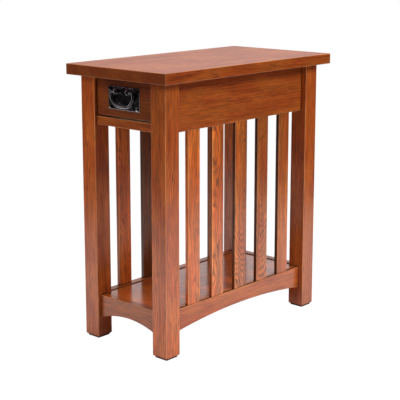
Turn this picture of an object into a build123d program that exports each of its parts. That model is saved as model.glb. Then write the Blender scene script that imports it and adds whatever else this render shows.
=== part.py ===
from build123d import *
import os

os.makedirs("parts", exist_ok=True)

# Narrow Mission style magazine table: X runs across it, -Y is the drawer end, Z is up.
# The origin is on the floor under the middle of the top. Every size is in millimetres.

# Top
table_height = 610.0
top_width = 294.0
top_depth = 557.5
top_thickness = 23.5
top_ease = 1.5

# Legs and their glides
overhang_side = 22.5
overhang_end = 22.0
leg_size = 41.0
leg_ease = 1.5
foot_chamfer = 3.0
pad_height = 3.0
pad_inset = 3.5
pad_ease = 0.6

# Boards that join the legs
board = 19.0
board_ease = 1.0
side_recess = 13.0
front_recess = 9.0
back_recess = 11.0
apron_height = 107.0

# Arched lower rails
low_rail_top = 99.5
low_rail_height = 49.0
arch_foot = 8.5
side_arch_rise = 14.7
end_arch_rise = 13.2

# Flat rail under the drawer
drawer_rail_recess = 6.0
drawer_rail_thickness = 19.0
drawer_rail_depth = 45.0
drawer_opening = 86.0

# Tenons and the pockets they sit in
tenon_thickness = 8.0
tenon_shoulder = 10.0
low_tenon_shoulder = 7.0
tenon_web = 1.0
end_tenon = 20.0
drawer_tenon_width = 13.0
drawer_tenon_shoulder = 4.0
drawer_tenon_thickness = 9.0
glue_room = 0.5

# Slats
slat_count = 5
slat_width = 37.6
slat_thickness = 9.0
slat_pitch = 77.0
slat_setback = 2.0
slat_ease = 0.8
stub_length = 8.0
stub_face_shoulder = 2.0
stub_edge_shoulder = 3.8

# Shelf
shelf_thickness = 16.0
shelf_drop = 2.0
cleat = 15.0
cleat_end_gap = 14.0

# Drawer box
drawer_recess = 7.0
drawer_gap_side = 2.0
drawer_gap_top = 2.0
drawer_gap_bottom = 3.0
drawer_run_gap = 0.3
drawer_front = 19.0
drawer_side = 12.0
drawer_length = 454.0
drawer_back_drop = 8.0
drawer_back_inset = 10.0
drawer_front_ease = 1.2
box_ease = 0.8
dado = 5.0
bottom_thickness = 5.0
bottom_rise = 8.0
bottom_groove = 6.0
bottom_play = 0.5

# Half-blind dovetails between the drawer sides and front
tail_count = 3
tail_first = 12.5
tail_neck = 12.0
tail_end = 16.0
tail_length = 12.0

# Runners, guides, kickers and stop that carry the drawer
runner_width = 18.0
guide_height = 52.0
kicker_play = 1.5
kicker_height = 8.7
kicker_reach = 18.0
stop_width = 60.0
stop_height = 30.0

# Bail pull
plate_width = 92.0
plate_height = 50.0
plate_thickness = 2.2
plate_bevel = 0.8
plate_side_hollow = 1.3
plate_top_hollow = 0.5
post_spacing = 34.0
post_width = 9.5
post_height = 12.5
post_nose = 4.8
post_dome = 2.6
post_above_centre = 15.0
bail_bar = 6.5
bail_back_gap = 0.65
bail_arm = 10.2
bail_drop = 32.4
bail_top_bend = 6.0
bail_corner = 20.0
bail_side_play = 0.3
pin_radius = 2.2
pin_length = 2.2
pin_play = 0.1
pin_end_play = 0.3
tack_size = 9.0
tack_height = 3.2
tack_taper = 52.0
tack_inset_x = 5.5
tack_inset_z = 6.4
tack_shank = 2.0
tack_play = 0.1
tack_depth = 12.0
pull_screw = 2.0
pull_screw_play = 0.1
pull_thread_play = 0.05
pull_screw_head = 4.0
pull_screw_head_height = 2.6
pull_screw_bite = 5.5

# Screws that hold the top down through the kickers
top_screw = 2.0
top_screw_head = 4.0
top_screw_bite = 14.0
top_screw_play = 0.05
top_screw_rows = (-120.0, 120.0)

# Places worked out from the sizes above
under_top = table_height - top_thickness
frame_x = top_width / 2 - overhang_side
frame_y = top_depth / 2 - overhang_end
leg_x = frame_x - leg_size / 2
leg_y = frame_y - leg_size / 2
inner_x = frame_x - leg_size
inner_y = frame_y - leg_size
side_outer = frame_x - side_recess
side_inner = side_outer - board
side_middle = side_outer - board / 2
front_middle = -frame_y + front_recess + board / 2
back_middle = frame_y - back_recess - board / 2
screw_x = (side_inner + inner_x - kicker_reach) / 2
apron_bottom = under_top - apron_height
low_rail_bottom = low_rail_top - low_rail_height
drawer_rail_top = under_top - drawer_opening
drawer_rail_bottom = drawer_rail_top - drawer_rail_thickness
drawer_tenon_y = -frame_y + drawer_rail_recess + drawer_tenon_shoulder + drawer_tenon_width / 2
# The side tenons stop a thin web short of the pockets for the rails across the ends.
end_pocket = min(-front_middle, back_middle) - tenon_thickness / 2
side_tenon = end_pocket - tenon_web - glue_room - inner_y
apron_tenon = (apron_bottom + tenon_shoulder, under_top - tenon_shoulder)
low_tenon = (low_rail_bottom + low_tenon_shoulder, low_rail_top - low_tenon_shoulder)
drawer_tenon_bottom = drawer_rail_bottom + (drawer_rail_thickness - drawer_tenon_thickness) / 2
drawer_tenon = (drawer_tenon_bottom, drawer_tenon_bottom + drawer_tenon_thickness)

SIDES = {"left": -1, "right": 1}
ENDS = {"front": -1, "back": 1}
END_MIDDLES = {"front": front_middle, "back": back_middle}


def save(piece, name):
    piece.part.label = name
    export_step(piece.part, f"parts/{name}.step")


def block(x_span, y_span, z_span, mode=Mode.ADD):
    # A straight board between three pairs of limits, extruded upwards from its footprint.
    with BuildSketch(Plane.XY.offset(z_span[0])) as footprint:
        with Locations(((x_span[0] + x_span[1]) / 2, (y_span[0] + y_span[1]) / 2)):
            Rectangle(abs(x_span[1] - x_span[0]), abs(y_span[1] - y_span[0]))
    extrude(footprint.sketch, amount=z_span[1] - z_span[0], mode=mode)


def around(middle, width):
    return (middle - width / 2, middle + width / 2)


def arched_outline(half_length, rise):
    # Side view of a lower rail: short flat feet at both ends with one arc between them.
    foot = half_length - arch_foot
    with BuildLine() as outline:
        Polyline(
            (-foot, low_rail_bottom),
            (-half_length, low_rail_bottom),
            (-half_length, low_rail_top),
            (half_length, low_rail_top),
            (half_length, low_rail_bottom),
            (foot, low_rail_bottom),
        )
        ThreePointArc(
            (foot, low_rail_bottom),
            (0, low_rail_bottom + rise),
            (-foot, low_rail_bottom),
        )
    make_face(outline.line)


# ---------------------------------------------------------------- top

with BuildPart() as table_top:
    block((-top_width / 2, top_width / 2), (-top_depth / 2, top_depth / 2), (under_top, table_height))
    fillet(table_top.edges(), top_ease)
    # Pilot holes for the screws that come up through the kickers.
    with Locations(*[Plane((side * screw_x, y, under_top), z_dir=(0, 0, -1))
                     for side in SIDES.values() for y in top_screw_rows]):
        Hole(radius=top_screw + top_screw_play, depth=top_screw_bite + top_screw_play)
save(table_top, "table_top")

# ---------------------------------------------------------------- legs and glides

for end, sy in ENDS.items():
    for side, sx in SIDES.items():
        with BuildPart() as leg:
            block(around(sx * leg_x, leg_size), around(sy * leg_y, leg_size), (pad_height, under_top))
            chamfer(leg.faces().sort_by(Axis.Z)[0].edges(), foot_chamfer)
            fillet(leg.edges().filter_by(Axis.Z), leg_ease)
            # Pockets for the side apron and the lower side rail.
            for span in (apron_tenon, low_tenon):
                block(
                    around(sx * side_middle, tenon_thickness),
                    (sy * inner_y, sy * (inner_y + side_tenon + glue_room)),
                    span,
                    Mode.SUBTRACT,
                )
            # Pockets for the rails that run across the end.
            end_span = (sx * inner_x, sx * (inner_x + end_tenon + glue_room))
            cross = around(END_MIDDLES[end], tenon_thickness)
            block(end_span, cross, low_tenon, Mode.SUBTRACT)
            if end == "back":
                block(end_span, cross, apron_tenon, Mode.SUBTRACT)
            else:
                block(end_span, around(drawer_tenon_y, drawer_tenon_width), drawer_tenon, Mode.SUBTRACT)
        save(leg, f"leg_{end}_{side}")

        with BuildPart() as pad:
            pad_size = leg_size - 2 * pad_inset
            block(around(sx * leg_x, pad_size), around(sy * leg_y, pad_size), (0, pad_height))
            chamfer(pad.edges().filter_by(Axis.Z), 2 * pad_ease)
            chamfer(pad.faces().sort_by(Axis.Z)[0].edges(), pad_ease)
        save(pad, f"foot_pad_{end}_{side}")

# ---------------------------------------------------------------- slats

slat_ys = [(i - (slat_count - 1) / 2) * slat_pitch for i in range(slat_count)]
slat_outer = side_outer - slat_setback
slat_middle = slat_outer - slat_thickness / 2
stub_thickness = slat_thickness - 2 * stub_face_shoulder
stub_width = slat_width - 2 * stub_edge_shoulder

for side, sx in SIDES.items():
    for number, y in enumerate(slat_ys, start=1):
        with BuildPart() as slat:
            block(
                around(sx * slat_middle, slat_thickness),
                around(y, slat_width),
                (low_rail_top, apron_bottom),
            )
            fillet(slat.edges().filter_by(Axis.Z), slat_ease)
            # Shouldered stubs that sit in the rail below and the apron above.
            block(
                around(sx * slat_middle, stub_thickness),
                around(y, stub_width),
                (low_rail_top - stub_length, apron_bottom + stub_length),
            )
        save(slat, f"slat_{side}_{number}")

# ---------------------------------------------------------------- side aprons and arched side rails

for side, sx in SIDES.items():
    with BuildPart() as apron:
        block(around(sx * side_middle, board), (-inner_y, inner_y), (apron_bottom, under_top))
        lower_edges = apron.faces().sort_by(Axis.Z)[0].edges().filter_by(Axis.Y)
        fillet(lower_edges, board_ease)
        block(
            around(sx * side_middle, tenon_thickness),
            (-inner_y - side_tenon, inner_y + side_tenon),
            apron_tenon,
        )
        for y in slat_ys:
            block(
                around(sx * slat_middle, stub_thickness),
                around(y, stub_width),
                (apron_bottom, apron_bottom + stub_length + glue_room),
                Mode.SUBTRACT,
            )
    save(apron, f"apron_{side}")

    with BuildPart() as side_rail:
        with BuildSketch(Plane.YZ.offset(sx * side_middle - board / 2)):
            arched_outline(inner_y, side_arch_rise)
        extrude(amount=board)
        # Every edge of both faces is eased, apart from the ends that meet the legs.
        face_edges = side_rail.faces().filter_by(Axis.X).edges()
        eased = face_edges.filter_by_position(Axis.Y, -inner_y, inner_y, inclusive=(False, False))
        chamfer(eased, board_ease)
        for sy in ENDS.values():
            block(
                around(sx * side_middle, tenon_thickness),
                (sy * inner_y, sy * (inner_y + side_tenon)),
                low_tenon,
            )
        for y in slat_ys:
            block(
                around(sx * slat_middle, stub_thickness),
                around(y, stub_width),
                (low_rail_top - stub_length - glue_room, low_rail_top),
                Mode.SUBTRACT,
            )
    save(side_rail, f"lower_rail_{side}")

# ---------------------------------------------------------------- rails across the ends

for end, y_middle in END_MIDDLES.items():
    with BuildPart() as end_rail:
        with BuildSketch(Plane.XZ.offset(-y_middle - board / 2)):
            arched_outline(inner_x, end_arch_rise)
        extrude(amount=board)
        face_edges = end_rail.faces().filter_by(Axis.Y).edges()
        eased = face_edges.filter_by_position(Axis.X, -inner_x, inner_x, inclusive=(False, False))
        chamfer(eased, board_ease)
        for sx in SIDES.values():
            block(
                (sx * inner_x, sx * (inner_x + end_tenon)),
                around(y_middle, tenon_thickness),
                low_tenon,
            )
    save(end_rail, f"lower_rail_{end}")

with BuildPart() as apron_back:
    block((-inner_x, inner_x), around(back_middle, board), (apron_bottom, under_top))
    fillet(apron_back.faces().sort_by(Axis.Z)[0].edges().filter_by(Axis.X), board_ease)
    block(
        (-inner_x - end_tenon, inner_x + end_tenon),
        around(back_middle, tenon_thickness),
        apron_tenon,
    )
save(apron_back, "apron_back")

rail_front = -frame_y + drawer_rail_recess
rail_rear = rail_front + drawer_rail_depth
with BuildPart() as drawer_rail:
    block((-inner_x, inner_x), (rail_front, rail_rear), (drawer_rail_bottom, drawer_rail_top))
    fillet(drawer_rail.edges().filter_by(Axis.X), board_ease)
    block(
        (-inner_x - end_tenon, inner_x + end_tenon),
        around(drawer_tenon_y, drawer_tenon_width),
        drawer_tenon,
    )
save(drawer_rail, "drawer_rail")

# ---------------------------------------------------------------- shelf and its cleats

shelf_front = front_middle + board / 2
shelf_back = back_middle - board / 2
shelf_top = low_rail_top - shelf_drop
shelf_bottom = shelf_top - shelf_thickness
with BuildPart() as shelf:
    block((-side_inner, side_inner), (shelf_front, shelf_back), (shelf_bottom, shelf_top))
    # Corners cut back to clear the legs.
    for sx in SIDES.values():
        for y_end, sy in ((shelf_front, -1), (shelf_back, 1)):
            block(
                (sx * inner_x, sx * side_inner),
                (sy * inner_y, y_end),
                (shelf_bottom, shelf_top),
                Mode.SUBTRACT,
            )
    fillet(shelf.faces().sort_by(Axis.Z)[-1].edges(), board_ease)
save(shelf, "shelf")

cleat_y = inner_y - cleat_end_gap
for side, sx in SIDES.items():
    with BuildPart() as shelf_cleat:
        block(
            (sx * (side_inner - cleat), sx * side_inner),
            (-cleat_y, cleat_y),
            (shelf_bottom - cleat, shelf_bottom),
        )
        fillet(shelf_cleat.edges().filter_by(Axis.Y).sort_by(Axis.Z)[:1], board_ease)
    save(shelf_cleat, f"shelf_cleat_{side}")

# ---------------------------------------------------------------- drawer box

front_y = -frame_y + drawer_recess
front_back_y = front_y + drawer_front
drawer_rear = front_y + drawer_length
drawer_x = inner_x - drawer_gap_side
box_inner_x = drawer_x - drawer_side
front_bottom = drawer_rail_top + drawer_gap_bottom
front_top = under_top - drawer_gap_top
side_bottom = drawer_rail_top + drawer_run_gap
kicker_bottom = under_top - kicker_height
side_top = kicker_bottom - kicker_play
panel_bottom = side_bottom + bottom_rise
panel_top = panel_bottom + bottom_thickness
back_front_y = drawer_rear - drawer_back_inset - drawer_side
back_rear_y = drawer_rear - drawer_back_inset
groove_x = box_inner_x + bottom_groove
tail_pitch = (side_top - side_bottom - 2 * tail_first) / (tail_count - 1)
tail_zs = [side_bottom + tail_first + i * tail_pitch for i in range(tail_count)]
plate_middle_z = (front_bottom + front_top) / 2
post_z = plate_middle_z + post_above_centre
post_xs = (-post_spacing / 2, post_spacing / 2)
tack_xs = around(0, plate_width - 2 * tack_inset_x)
tack_zs = around(plate_middle_z, plate_height - 2 * tack_inset_z)


def tails(sx, mode):
    # Dovetail wedges, widest at their buried end, across the thickness of one drawer side.
    start = min(sx * box_inner_x, sx * drawer_x)
    with BuildSketch(Plane.YZ.offset(start)) as wedges:
        for z in tail_zs:
            with BuildLine():
                Polyline(
                    (front_back_y, z - tail_neck / 2),
                    (front_back_y - tail_length, z - tail_end / 2),
                    (front_back_y - tail_length, z + tail_end / 2),
                    (front_back_y, z + tail_neck / 2),
                    close=True,
                )
            make_face()
    extrude(wedges.sketch, amount=drawer_side, mode=mode)


def tack_squares(y, size, depth, mode, taper=0):
    # One square column or pyramid at each tack, growing forwards from the given plane.
    with BuildSketch(Plane.XZ.offset(-y)) as squares:
        with Locations(*[(x, z) for x in tack_xs for z in tack_zs]):
            Rectangle(size, size)
    extrude(squares.sketch, amount=depth, taper=taper, mode=mode)


with BuildPart() as drawer_front_board:
    block((-drawer_x, drawer_x), (front_y, front_back_y), (front_bottom, front_top))
    fillet(drawer_front_board.faces().sort_by(Axis.Y)[0].edges(), drawer_front_ease)
    for sx in SIDES.values():
        tails(sx, Mode.SUBTRACT)
    block(
        (-groove_x, groove_x),
        (front_back_y - bottom_groove, front_back_y),
        (panel_bottom, panel_top),
        Mode.SUBTRACT,
    )
    # Bores for the two pull screws, and square pockets for the four tacks.
    with Locations(*[Plane((x, front_y, post_z), z_dir=(0, -1, 0)) for x in post_xs]):
        Hole(radius=pull_screw + pull_screw_play)
    tack_squares(front_y, tack_shank + 2 * tack_play, -(tack_depth + tack_play), Mode.SUBTRACT)
save(drawer_front_board, "drawer_front")

for side, sx in SIDES.items():
    with BuildPart() as drawer_side_board:
        block((sx * box_inner_x, sx * drawer_x), (front_back_y, drawer_rear), (side_bottom, side_top))
        fillet(drawer_side_board.edges().filter_by(Axis.Y), box_ease)
        tails(sx, Mode.ADD)
        block(
            (sx * box_inner_x, sx * groove_x),
            (front_back_y - tail_length, drawer_rear),
            (panel_bottom, panel_top),
            Mode.SUBTRACT,
        )
        block(
            (sx * box_inner_x, sx * (box_inner_x + dado)),
            (back_front_y, back_rear_y),
            (panel_top, side_top),
            Mode.SUBTRACT,
        )
    save(drawer_side_board, f"drawer_side_{side}")

with BuildPart() as drawer_back:
    back_x = box_inner_x + dado
    block((-back_x, back_x), (back_front_y, back_rear_y), (panel_top, side_top - drawer_back_drop))
    fillet(drawer_back.faces().sort_by(Axis.Z)[-1].edges().filter_by(Axis.X), box_ease)
save(drawer_back, "drawer_back")

with BuildPart() as drawer_bottom:
    panel_x = groove_x - bottom_play
    block(
        (-panel_x, panel_x),
        (front_back_y - bottom_groove + bottom_play, back_rear_y),
        (panel_bottom, panel_top),
    )
save(drawer_bottom, "drawer_bottom")

# ---------------------------------------------------------------- what carries the drawer

stop_front = back_rear_y + drawer_run_gap

for side, sx in SIDES.items():
    with BuildPart() as guide:
        block(
            (sx * inner_x, sx * side_inner),
            (-inner_y, inner_y),
            (drawer_rail_bottom, drawer_rail_bottom + guide_height),
        )
    save(guide, f"drawer_guide_{side}")

    with BuildPart() as runner:
        block(
            (sx * (inner_x - runner_width), sx * inner_x),
            (rail_rear, shelf_back),
            (drawer_rail_bottom, drawer_rail_top),
        )
    save(runner, f"drawer_runner_{side}")

    with BuildPart() as kicker:
        block(
            (sx * (inner_x - kicker_reach), sx * side_inner),
            (-inner_y, inner_y),
            (kicker_bottom, under_top),
        )
        # Countersunk bores for the screws that hold the top.
        with Locations(*[Plane((sx * screw_x, y, kicker_bottom), z_dir=(0, 0, -1)) for y in top_screw_rows]):
            CounterSinkHole(
                radius=top_screw + top_screw_play,
                counter_sink_radius=top_screw_head + top_screw_play,
            )
    save(kicker, f"drawer_kicker_{side}")

with BuildPart() as drawer_stop:
    # It reaches in between the drawer sides and meets the back of the box.
    block((-stop_width / 2, stop_width / 2), (stop_front, shelf_back), (panel_top, panel_top + stop_height))
save(drawer_stop, "drawer_stop")

# ---------------------------------------------------------------- screws for the top

with BuildPart() as top_screws:
    for sx in SIDES.values():
        for y in top_screw_rows:
            # Turned profile: flush flat head, then the shank up into the top.
            profile_plane = Plane((sx * screw_x, y, kicker_bottom), x_dir=(1, 0, 0), z_dir=(0, -1, 0))
            with BuildSketch(profile_plane):
                with BuildLine():
                    Polyline(
                        (0, 0),
                        (top_screw_head - top_screw_play, 0),
                        (top_screw, top_screw_head - top_screw),
                        (top_screw, under_top - kicker_bottom + top_screw_bite - top_screw),
                        (0, under_top - kicker_bottom + top_screw_bite),
                        close=True,
                    )
                make_face()
            revolve(axis=Axis((sx * screw_x, y, 0), (0, 0, 1)))
save(top_screws, "top_screws")

# ---------------------------------------------------------------- bail pull

plate_front = front_y - plate_thickness
bar = bail_bar / 2
axis_y = plate_front - bail_back_gap - bar
post_outer = post_spacing / 2 + post_width / 2
stub_start = post_outer + bail_side_play
bail_half_width = stub_start + bail_arm

with BuildPart() as pull_plate:
    with BuildSketch(Plane.XZ.offset(-front_y)):
        left, right = around(0, plate_width)
        low, high = around(plate_middle_z, plate_height)
        with BuildLine():
            ThreePointArc((left, low), (0, low + plate_top_hollow), (right, low))
            ThreePointArc((right, low), (right - plate_side_hollow, plate_middle_z), (right, high))
            ThreePointArc((right, high), (0, high - plate_top_hollow), (left, high))
            ThreePointArc((left, high), (left + plate_side_hollow, plate_middle_z), (left, low))
        make_face()
    extrude(amount=plate_thickness)
    chamfer(pull_plate.faces().sort_by(Axis.Y)[0].edges(), plate_bevel)
    with Locations(*[Plane((x, plate_front, post_z), z_dir=(0, -1, 0)) for x in post_xs]):
        Hole(radius=pull_screw + pull_screw_play)
    tack_squares(plate_front, tack_shank + 2 * tack_play, -plate_thickness, Mode.SUBTRACT)
save(pull_plate, "pull_plate")

for side, sx in SIDES.items():
    with BuildPart() as post:
        with BuildSketch(Plane.XZ.offset(-plate_front)):
            with Locations((sx * post_spacing / 2, post_z)):
                SlotOverall(post_height, post_width, rotation=90)
        extrude(amount=plate_front - axis_y + post_nose)
        fillet(post.faces().sort_by(Axis.Y)[0].edges(), post_dome)
        # Threaded bore for the screw behind, and the blind eye that takes the end of the bail.
        with Locations(Plane((sx * post_spacing / 2, plate_front, post_z), z_dir=(0, 1, 0))):
            Hole(radius=pull_screw + pull_thread_play, depth=pull_screw_bite + pull_thread_play)
        with Locations(Plane((sx * post_outer, axis_y, post_z), z_dir=(sx, 0, 0))):
            Hole(radius=pin_radius + pin_play, depth=pin_length + pin_end_play)
    save(post, f"pull_post_{side}")

with BuildPart() as bail:
    with BuildLine() as bail_path:
        bottom_z = post_z - bail_drop
        FilletPolyline(
            (-stub_start, axis_y, post_z),
            (-bail_half_width, axis_y, post_z),
            (-bail_half_width, axis_y, bottom_z),
            (bail_half_width, axis_y, bottom_z),
            (bail_half_width, axis_y, post_z),
            (stub_start, axis_y, post_z),
            radius=[bail_top_bend, bail_corner, bail_corner, bail_top_bend],
        )
    with BuildSketch(Plane((-stub_start, axis_y, post_z), z_dir=(-1, 0, 0))):
        Circle(bar)
    sweep(path=bail_path.line)
    # End pins that turn in the eyes of the posts.
    for sx in SIDES.values():
        with BuildSketch(Plane((sx * stub_start, axis_y, post_z), z_dir=(-sx, 0, 0))):
            Circle(pin_radius)
        extrude(amount=bail_side_play + pin_length)
save(bail, "bail")

with BuildPart() as pull_tacks:
    # Four-sided pyramid heads on square nails.
    tack_squares(plate_front, tack_size, tack_height, Mode.ADD, tack_taper)
    tack_squares(plate_front, tack_shank, -(plate_thickness + tack_depth), Mode.ADD)
save(pull_tacks, "pull_tacks")

with BuildPart() as pull_screws:
    for sx in SIDES.values():
        with BuildSketch(Plane.XZ.offset(-front_back_y)):
            with Locations((sx * post_spacing / 2, post_z)):
                Circle(pull_screw_head)
        extrude(amount=-pull_screw_head_height)
        with BuildSketch(Plane.XZ.offset(-front_back_y)):
            with Locations((sx * post_spacing / 2, post_z)):
                Circle(pull_screw)
        extrude(amount=drawer_front + plate_thickness + pull_screw_bite)
save(pull_screws, "pull_screws")
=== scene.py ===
import math
import bmesh
import bpy
from mathutils import Matrix, Vector


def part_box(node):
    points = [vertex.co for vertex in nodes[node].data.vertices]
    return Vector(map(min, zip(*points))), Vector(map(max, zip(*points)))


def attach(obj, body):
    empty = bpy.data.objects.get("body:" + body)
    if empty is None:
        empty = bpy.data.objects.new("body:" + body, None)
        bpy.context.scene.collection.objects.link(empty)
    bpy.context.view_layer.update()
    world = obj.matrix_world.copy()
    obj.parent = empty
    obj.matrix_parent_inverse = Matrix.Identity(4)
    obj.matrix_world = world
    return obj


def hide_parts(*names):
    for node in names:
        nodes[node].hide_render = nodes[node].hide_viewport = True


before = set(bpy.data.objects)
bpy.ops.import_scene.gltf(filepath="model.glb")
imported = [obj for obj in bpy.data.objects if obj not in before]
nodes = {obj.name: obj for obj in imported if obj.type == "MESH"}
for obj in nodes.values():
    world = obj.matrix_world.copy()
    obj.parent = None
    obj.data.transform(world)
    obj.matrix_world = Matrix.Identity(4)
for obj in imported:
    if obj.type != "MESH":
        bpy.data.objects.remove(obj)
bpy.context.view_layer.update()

mm = 0.001


def hexColour(code):
    # sRGB hex to the linear values that sockets take
    channels = [int(code[i:i + 2], 16) / 255 for i in (1, 3, 5)]
    linear = [c / 12.92 if c <= 0.04045 else ((c + 0.055) / 1.055) ** 2.4 for c in channels]
    return (*linear, 1.0)


def addNode(tree, kind, inputs=None, **settings):
    # Each socket, by name or number, takes a value, a node's first output or a (node, output) pair
    node = tree.nodes.new(kind)
    for name, value in settings.items():
        setattr(node, name, value)
    for socket, value in (inputs or {}).items():
        if isinstance(value, bpy.types.Node):
            value = (value, 0)
        if isinstance(value, tuple) and isinstance(value[0], bpy.types.Node):
            tree.links.new(value[0].outputs[value[1]], node.inputs[socket])
        else:
            node.inputs[socket].default_value = value
    return node


def emptyMaterial(name):
    material = bpy.data.materials.new(name)
    material.use_nodes = True
    material.node_tree.nodes.clear()
    return material, material.node_tree


def emptyGroup(name, treeKind, inputs, outputs):
    # inputs and outputs give each socket's kind, or the number that a plain value starts from
    tree = bpy.data.node_groups.new(name, treeKind)
    for side, sockets in (("INPUT", inputs), ("OUTPUT", outputs)):
        for label, content in sockets.items():
            kind = content if isinstance(content, str) else "Float"
            socket = tree.interface.new_socket(label, in_out=side, socket_type="NodeSocket" + kind)
            if content != kind:
                socket.default_value = content
    return tree, tree.nodes.new("NodeGroupInput")


def endTree(tree, shape, material):
    # A geometry tree ends as real faces with their material
    real = addNode(tree, "GeometryNodeRealizeInstances", {0: shape})
    finished = addNode(tree, "GeometryNodeSetMaterial", {"Geometry": real, "Material": material})
    addNode(tree, "NodeGroupOutput", {0: finished})


def paint(name, material):
    obj = nodes[name]
    obj.data.materials.clear()
    obj.data.materials.append(material)


def bakePiece(carrier, name):
    # The evaluated modifiers become a plain mesh on an object at the origin
    shaped = carrier.evaluated_get(bpy.context.evaluated_depsgraph_get())
    mesh = bpy.data.meshes.new_from_object(shaped)
    mesh.name = name
    piece = bpy.data.objects.new(name, mesh)
    bpy.context.scene.collection.objects.link(piece)
    bpy.data.objects.remove(carrier, do_unlink=True)
    return piece


def runTree(tree, name, values, data=None):
    # Sets a modifier's inputs by their identifiers, then evaluates it once
    carrier = bpy.data.objects.new(name + "Carrier", data or bpy.data.meshes.new(name + "Carrier"))
    bpy.context.scene.collection.objects.link(carrier)
    modifier = carrier.modifiers.new("shape", "NODES")
    modifier.node_group = tree
    sockets = [item for item in tree.interface.items_tree if item.in_out == "INPUT"]
    identifiers = {socket.name: socket.identifier for socket in sockets}
    for label, value in values.items():
        modifier[identifiers[label]] = value
    return bakePiece(carrier, name)


# Red oak, rift sawn for the frame and flat sawn for the slats, under a reddish brown wiping stain and
# satin lacquer. The stain fills the open pores that start each ring, so the figure reads dark on a warm
# orange ground.
oakFigure = {
    "seedStep": 3.7,            # how far each whole number of seed moves every pattern
    "ringSpacing": 3.6 * mm,
    "ringProfile": ((0.12, 0.8), (0.25, 1.0), (0.6, 0.3), (0.85, 0.05)),     # place in the year, darkness
    "faintestRing": 0.35,
    "wanderLength": 150 * mm,
    "ripple": (20 * mm, 90 * mm, 2.0, 0.5),     # width, length, detail and roughness
    "noiseGain": 4.0,           # noise seldom swings by more than a quarter either way
}

# Patterns drawn out along the grain: width and length of one mark, detail, roughness and distortion of its
# noise, then the values between which it comes in, and how
oakPatterns = {
    # A real pore is about 0.3 mm wide, too fine to show, so it is drawn coarser
    "Pore": (1.8 * mm, 20 * mm, 2.0, 0.6, 0.0, 0.5, 0.68, "SMOOTHSTEP"),
    # Fibres are finer than a hair, so bundles of them stand for the silky grain
    "Fibre": (2.0 * mm, 34 * mm, 2.0, 0.6, 0.0, 0.3, 0.7, "LINEAR"),
    "Streak": (3.2 * mm, 170 * mm, 3.0, 0.6, 0.0, 0.36, 0.64, "SMOOTHSTEP"),
    "Flame": (10 * mm, 95 * mm, 2.0, 0.5, 0.8, 0.42, 0.6, "SMOOTHSTEP"),
    "Cloud": (110 * mm / 3, 110 * mm, 1.0, 0.5, 0.0, 0.38, 0.62, "SMOOTHSTEP"),
}


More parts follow.
